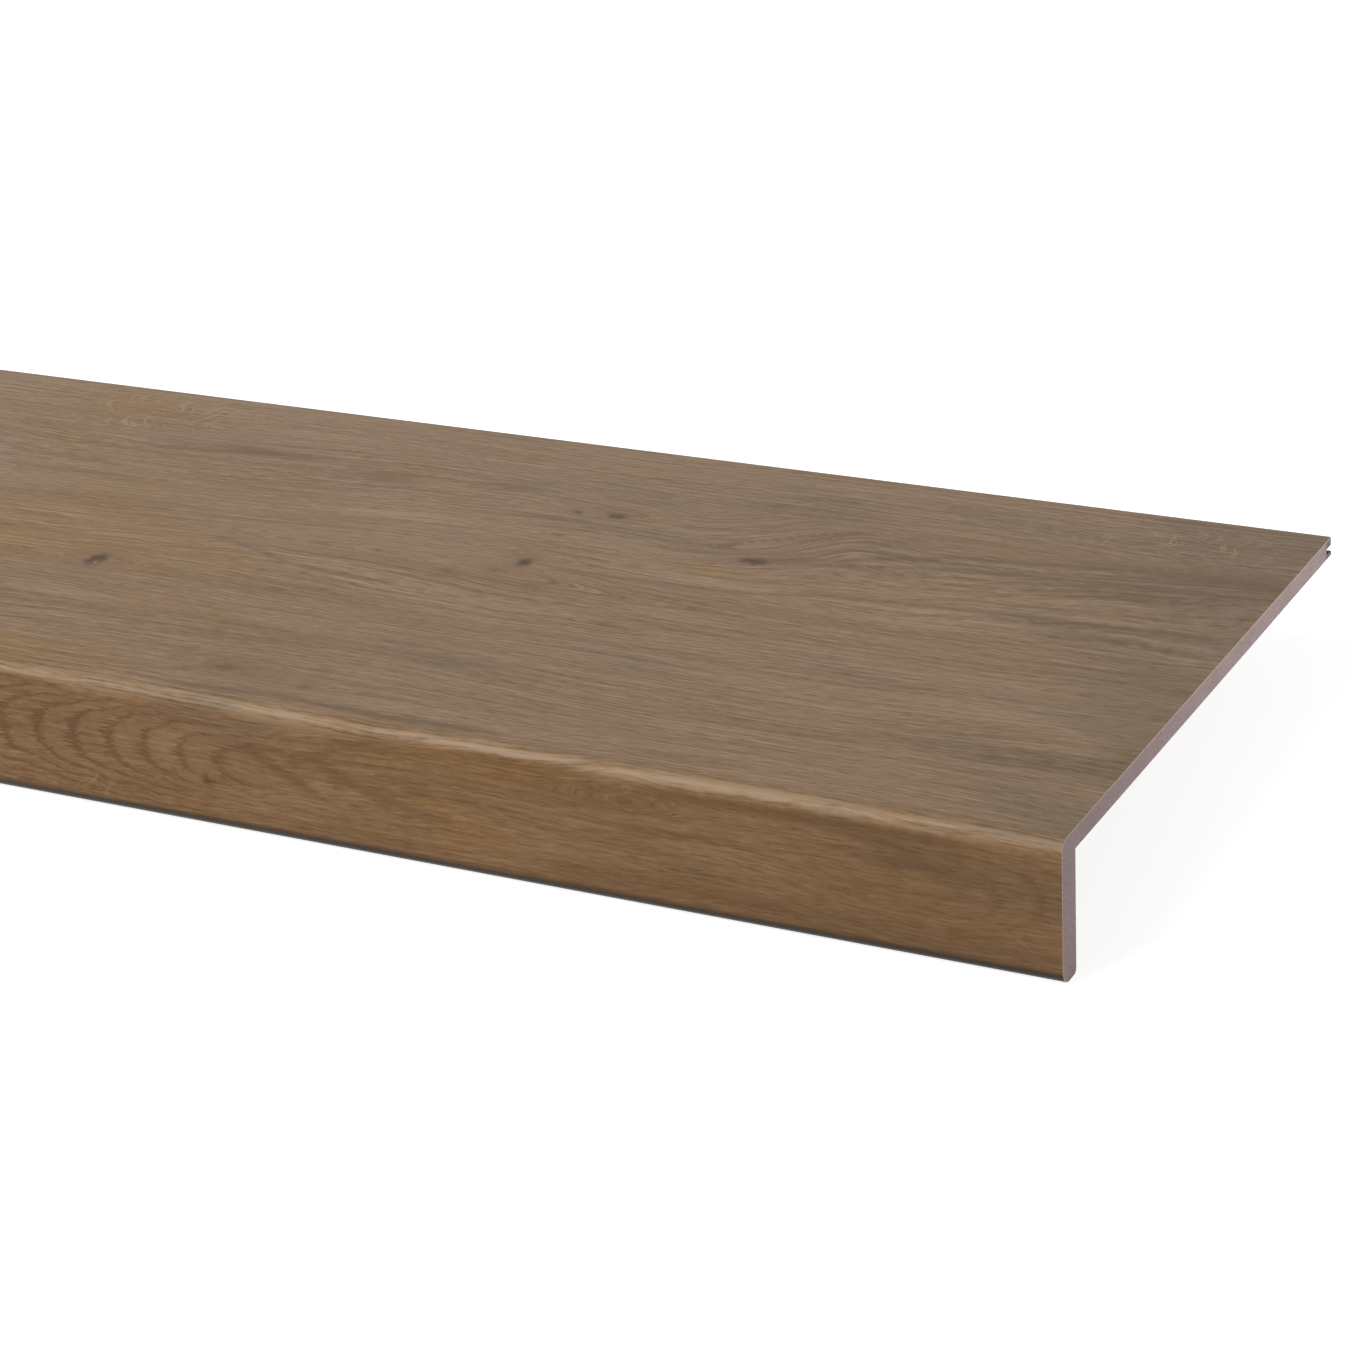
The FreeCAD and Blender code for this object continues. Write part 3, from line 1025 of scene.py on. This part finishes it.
def seen_straight(tree):
    """1 for rays that show the stage itself: straight, in a gloss or through glass."""
    path = tree.node("LightPath").socket.node
    kinds = ("Camera", "Glossy", "Transmission")
    camera, gloss, glass = [Wire(tree.tree, path.outputs[f"Is {kind} Ray"]) for kind in kinds]
    return (camera + gloss + glass).math("MINIMUM", 1)


def light_sky(scene, look):
    """A white world that lights softly from all sides and is plain white to the camera."""
    world = bpy.data.worlds.new("studio")
    world.use_nodes = True
    world.node_tree.nodes.clear()
    tree = Wire(world.node_tree)
    strength = seen_straight(tree).either(look.sky, 1.0)
    sky = tree.node("Background", inputs={"Color": WHITE, "Strength": strength})
    end = world.node_tree.nodes.new("ShaderNodeOutputWorld")
    world.node_tree.links.new(sky.socket, end.inputs["Surface"])
    scene.world = world


def hang_lamp(scene, name, power, stand, extent):
    """A soft lamp with straight sides, of that power in watts, turned to the frame's origin."""
    data = bpy.data.lights.new(name, "AREA")
    data.shape = "RECTANGLE"
    data.size, data.size_y = extent
    data.energy = power
    stand = Vector(stand)
    lamp = bpy.data.objects.new(name, data)
    lamp.matrix_world = Matrix.Translation(stand) @ stand.to_track_quat("Z", "Y").to_matrix().to_4x4()
    scene.collection.objects.link(lamp)


class TreadPanel(bpy.types.Panel):
    """Lists the steps that build the tread, with their sizes and colours."""

    bl_idname = "VIEW3D_PT_stair_tread"
    bl_label = "Stair tread"
    bl_space_type = "VIEW_3D"
    bl_region_type = "UI"
    bl_category = "Stair tread"

    def draw(self, context):
        for step in STEPS:
            self.layout.operator(step.bl_idname)
        for name, group in GROUPS.items():
            box = self.layout.box()
            for field in group.__annotations__:
                box.prop(getattr(context.scene, name), field)


GROUPS = {
    "tread_sizes": TreadSizes,
    "oak_colours": OakColours,
    "core_colours": CoreColours,
    "stage_look": StageLook,
}
STEPS = (SetStage, AddCore, AddLaminate)


def register():
    """Registers the classes and gives the scene its property groups."""
    for name, group in GROUPS.items():
        bpy.utils.register_class(group)
        setattr(bpy.types.Scene, name, bpy.props.PointerProperty(type=group))
    for step in STEPS:
        bpy.utils.register_class(step)
    bpy.utils.register_class(TreadPanel)


def unregister():
    """Undoes what register does, in reverse."""
    bpy.utils.unregister_class(TreadPanel)
    for step in reversed(STEPS):
        bpy.utils.unregister_class(step)
    for name, group in reversed(GROUPS.items()):
        delattr(bpy.types.Scene, name)
        bpy.utils.unregister_class(group)


def main():
    register()
    for step in STEPS:
        category, action = step.bl_idname.split(".")
        getattr(getattr(bpy.ops, category), action)()


if __name__ == "__main__":
    main()
